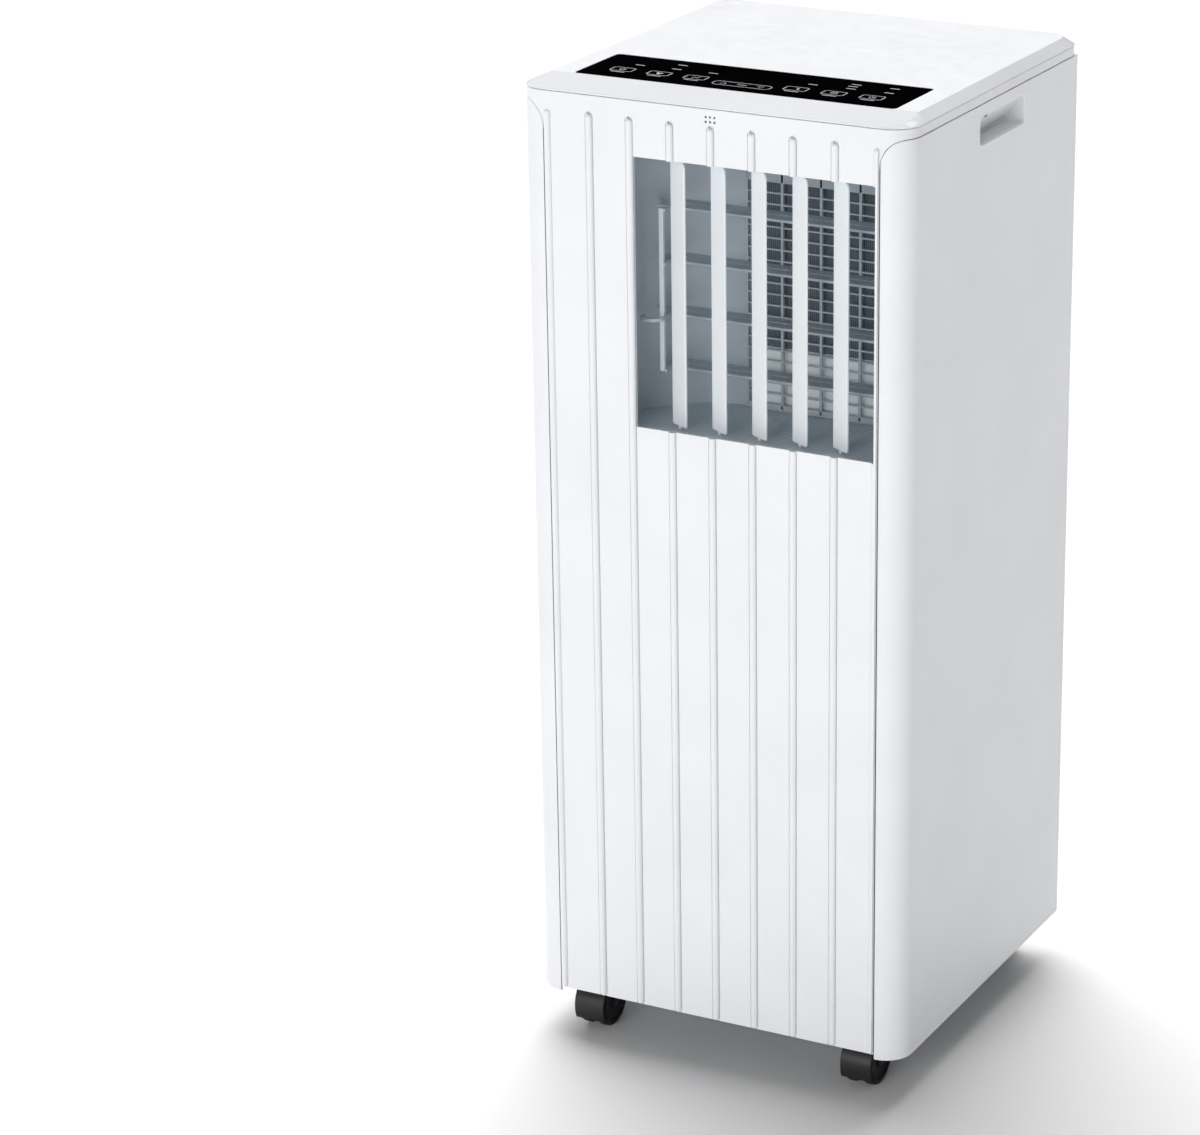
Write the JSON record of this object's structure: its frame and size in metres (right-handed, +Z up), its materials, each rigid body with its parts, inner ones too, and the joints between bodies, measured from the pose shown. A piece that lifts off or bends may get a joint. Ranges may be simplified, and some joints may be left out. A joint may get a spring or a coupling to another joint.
{
  "type": "portable air conditioner",
  "caption": "Slim white portable air conditioner: beaded front with a vaned outlet, touch strip on the lid, finger pockets, rear grilles, hose collar and swivelling twin-wheel casters.",
  "frame": {"origin": "centre of the footprint on the ground, where the wheels rest", "axes": "+Z up, the outlet faces -Y, +X is to the right of a person who faces the front"},
  "size_m": [0.28, 0.296, 0.6802],
  "materials": {
    "white_shell": "satin injection-moulded white plastic with a very fine grain",
    "control_glass": "glossy black touch panel with pale printed key outlines",
    "pale_grey": "matt pale grey plastic",
    "mid_grey": "matt mid grey plastic",
    "vane_white": "satin white plastic",
    "black_plastic": "satin black nylon",
    "wheel_black": "black nylon wheel",
    "steel": "zinc-plated steel",
    "black_steel": "black painted steel",
    "fins": "aluminium fins",
    "copper": "bare copper tube",
    "board_green": "green circuit board",
    "filter_mesh": "dark nylon filter mesh",
    "rubber": "black rubber"
  },
  "bodies": {
    "cabinet": {"accumulator": "black_steel", "air_duct": "mid_grey", "base_pan": "mid_grey", "blade_motor": "steel", "compressor": "black_steel", "condenser": "fins", "condenser_fan_casing": "mid_grey", "condenser_fan_motor": "steel", "control_board": "board_green", "control_strip": "control_glass", "cord_gland": "black_plastic", "deck": "mid_grey", "discharge_pipe": "copper", "drip_tray": "pale_grey", "electrics_box": "black_plastic", "evaporator": "fins", "evaporator_fan_casing": "mid_grey", "evaporator_fan_motor": "steel", "exhaust_collar": "white_shell", "front_panel": "white_shell", "left_side_panel": "white_shell", "lid": "white_shell", "liquid_pipe": "copper", "outlet_guard": "pale_grey", "outlet_screen": "filter_mesh", "rear_panel": "white_shell", "remote_receiver": "black_plastic", "right_side_panel": "white_shell", "run_capacitor": "steel", "suction_pipe": "copper", "vane_motor": "steel"},
    "vane_1": {"vane_1": "vane_white"},
    "vane_2": {"vane_2": "vane_white"},
    "vane_3": {"vane_3": "vane_white"},
    "vane_4": {"vane_4": "vane_white"},
    "vane_5": {"vane_5": "vane_white"},
    "vane_link": {"vane_link": "vane_white"},
    "blade_1": {"blade_1": "pale_grey"},
    "blade_2": {"blade_2": "pale_grey"},
    "blade_3": {"blade_3": "pale_grey"},
    "blade_4": {"blade_4": "pale_grey"},
    "blade_link": {"blade_link": "vane_white"},
    "evaporator_fan": {"evaporator_fan": "black_plastic"},
    "condenser_fan": {"condenser_fan": "black_plastic"},
    "upper_grille": {"upper_grille": "white_shell"},
    "upper_filter": {"upper_filter": "filter_mesh"},
    "lower_grille": {"lower_grille": "white_shell"},
    "lower_filter": {"lower_filter": "filter_mesh"},
    "upper_drain_plug": {"upper_drain_plug": "rubber"},
    "lower_drain_plug": {"lower_drain_plug": "rubber"},
    "caster_1": {"caster_hood_1": "black_plastic"},
    "caster_wheels_1": {"caster_wheels_1": "wheel_black"},
    "caster_2": {"caster_hood_2": "black_plastic"},
    "caster_wheels_2": {"caster_wheels_2": "wheel_black"},
    "caster_3": {"caster_hood_3": "black_plastic"},
    "caster_wheels_3": {"caster_wheels_3": "wheel_black"},
    "caster_4": {"caster_hood_4": "black_plastic"},
    "caster_wheels_4": {"caster_wheels_4": "wheel_black"}
  },
  "joints": [
    {"name": "vane_1_turn", "type": "hinge", "parent": "cabinet", "child": "vane_1", "pos_m": [-0.031, -0.129, 0.54525], "axis": [0, 0, 1], "range_deg": [-100, 0]},
    {"name": "vane_2_turn", "type": "hinge", "parent": "cabinet", "child": "vane_2", "pos_m": [-0.00175, -0.129, 0.54525], "axis": [0, 0, 1], "range_deg": [-100, 0]},
    {"name": "vane_3_turn", "type": "hinge", "parent": "cabinet", "child": "vane_3", "pos_m": [0.0275, -0.129, 0.54525], "axis": [0, 0, 1], "range_deg": [-100, 0]},
    {"name": "vane_4_turn", "type": "hinge", "parent": "cabinet", "child": "vane_4", "pos_m": [0.05675, -0.129, 0.54525], "axis": [0, 0, 1], "range_deg": [-100, 0]},
    {"name": "vane_5_turn", "type": "hinge", "parent": "cabinet", "child": "vane_5", "pos_m": [0.086, -0.129, 0.54525], "axis": [0, 0, 1], "range_deg": [-100, 0]},
    {"name": "vane_link_pivot", "type": "hinge", "parent": "vane_1", "child": "vane_link", "pos_m": [-0.0362, -0.126, 0.6355], "axis": [0, 0, 1], "range_deg": [0, 100]},
    {"name": "blade_1_tilt", "type": "hinge", "parent": "cabinet", "child": "blade_1", "pos_m": [0.02825, -0.093, 0.595], "axis": [1, 0, 0], "range_deg": [-30, 30]},
    {"name": "blade_2_tilt", "type": "hinge", "parent": "cabinet", "child": "blade_2", "pos_m": [0.02825, -0.093, 0.5586], "axis": [1, 0, 0], "range_deg": [-30, 30]},
    {"name": "blade_3_tilt", "type": "hinge", "parent": "cabinet", "child": "blade_3", "pos_m": [0.02825, -0.093, 0.5222], "axis": [1, 0, 0], "range_deg": [-30, 30]},
    {"name": "blade_4_tilt", "type": "hinge", "parent": "cabinet", "child": "blade_4", "pos_m": [0.02825, -0.093, 0.4858], "axis": [1, 0, 0], "range_deg": [-30, 30]},
    {"name": "blade_link_pivot", "type": "hinge", "parent": "blade_1", "child": "blade_link", "pos_m": [-0.053, -0.1105, 0.595], "axis": [1, 0, 0], "range_deg": [-30, 30]},
    {"name": "evaporator_fan_spin", "type": "hinge", "parent": "cabinet", "child": "evaporator_fan", "pos_m": [0.028, -0.031, 0.556], "axis": [0, 1, 0], "continuous": true},
    {"name": "condenser_fan_spin", "type": "hinge", "parent": "cabinet", "child": "condenser_fan", "pos_m": [-0.045, 0.034, 0.335], "axis": [0, 1, 0], "continuous": true},
    {"name": "upper_grille_pull", "type": "slide", "parent": "cabinet", "child": "upper_grille", "axis": [0, 1, 0], "range_m": [0, 0.06]},
    {"name": "upper_filter_unclip", "type": "slide", "parent": "upper_grille", "child": "upper_filter", "axis": [0, -1, 0], "range_m": [0, 0.008]},
    {"name": "lower_grille_pull", "type": "slide", "parent": "cabinet", "child": "lower_grille", "axis": [0, 1, 0], "range_m": [0, 0.06]},
    {"name": "lower_filter_unclip", "type": "slide", "parent": "lower_grille", "child": "lower_filter", "axis": [0, -1, 0], "range_m": [0, 0.008]},
    {"name": "upper_drain_plug_pull", "type": "slide", "parent": "cabinet", "child": "upper_drain_plug", "axis": [0, 1, 0], "range_m": [0, 0.03]},
    {"name": "lower_drain_plug_pull", "type": "slide", "parent": "cabinet", "child": "lower_drain_plug", "axis": [0, 1, 0], "range_m": [0, 0.03]},
    {"name": "caster_1_swivel", "type": "hinge", "parent": "cabinet", "child": "caster_1", "pos_m": [-0.103, -0.112, 0.018], "axis": [0, 0, 1], "continuous": true},
    {"name": "caster_1_roll", "type": "hinge", "parent": "caster_1", "child": "caster_wheels_1", "pos_m": [-0.103, -0.118, 0.018], "axis": [1, 0, 0], "continuous": true},
    {"name": "caster_2_swivel", "type": "hinge", "parent": "cabinet", "child": "caster_2", "pos_m": [0.103, -0.112, 0.018], "axis": [0, 0, 1], "continuous": true},
    {"name": "caster_2_roll", "type": "hinge", "parent": "caster_2", "child": "caster_wheels_2", "pos_m": [0.103, -0.118, 0.018], "axis": [1, 0, 0], "continuous": true},
    {"name": "caster_3_swivel", "type": "hinge", "parent": "cabinet", "child": "caster_3", "pos_m": [-0.103, 0.113, 0.018], "axis": [0, 0, 1], "continuous": true},
    {"name": "caster_3_roll", "type": "hinge", "parent": "caster_3", "child": "caster_wheels_3", "pos_m": [-0.103, 0.107, 0.018], "axis": [1, 0, 0], "continuous": true},
    {"name": "caster_4_swivel", "type": "hinge", "parent": "cabinet", "child": "caster_4", "pos_m": [0.103, 0.113, 0.018], "axis": [0, 0, 1], "continuous": true},
    {"name": "caster_4_roll", "type": "hinge", "parent": "caster_4", "child": "caster_wheels_4", "pos_m": [0.103, 0.107, 0.018], "axis": [1, 0, 0], "continuous": true}
  ],
  "couplings": [
    {"joint": "vane_2_turn", "follows": "vane_1_turn", "ratio": 1},
    {"joint": "vane_3_turn", "follows": "vane_1_turn", "ratio": 1},
    {"joint": "vane_4_turn", "follows": "vane_1_turn", "ratio": 1},
    {"joint": "vane_5_turn", "follows": "vane_1_turn", "ratio": 1},
    {"joint": "vane_link_pivot", "follows": "vane_1_turn", "ratio": -1},
    {"joint": "blade_2_tilt", "follows": "blade_1_tilt", "ratio": 1},
    {"joint": "blade_3_tilt", "follows": "blade_1_tilt", "ratio": 1},
    {"joint": "blade_4_tilt", "follows": "blade_1_tilt", "ratio": 1},
    {"joint": "blade_link_pivot", "follows": "blade_1_tilt", "ratio": -1}
  ]
}
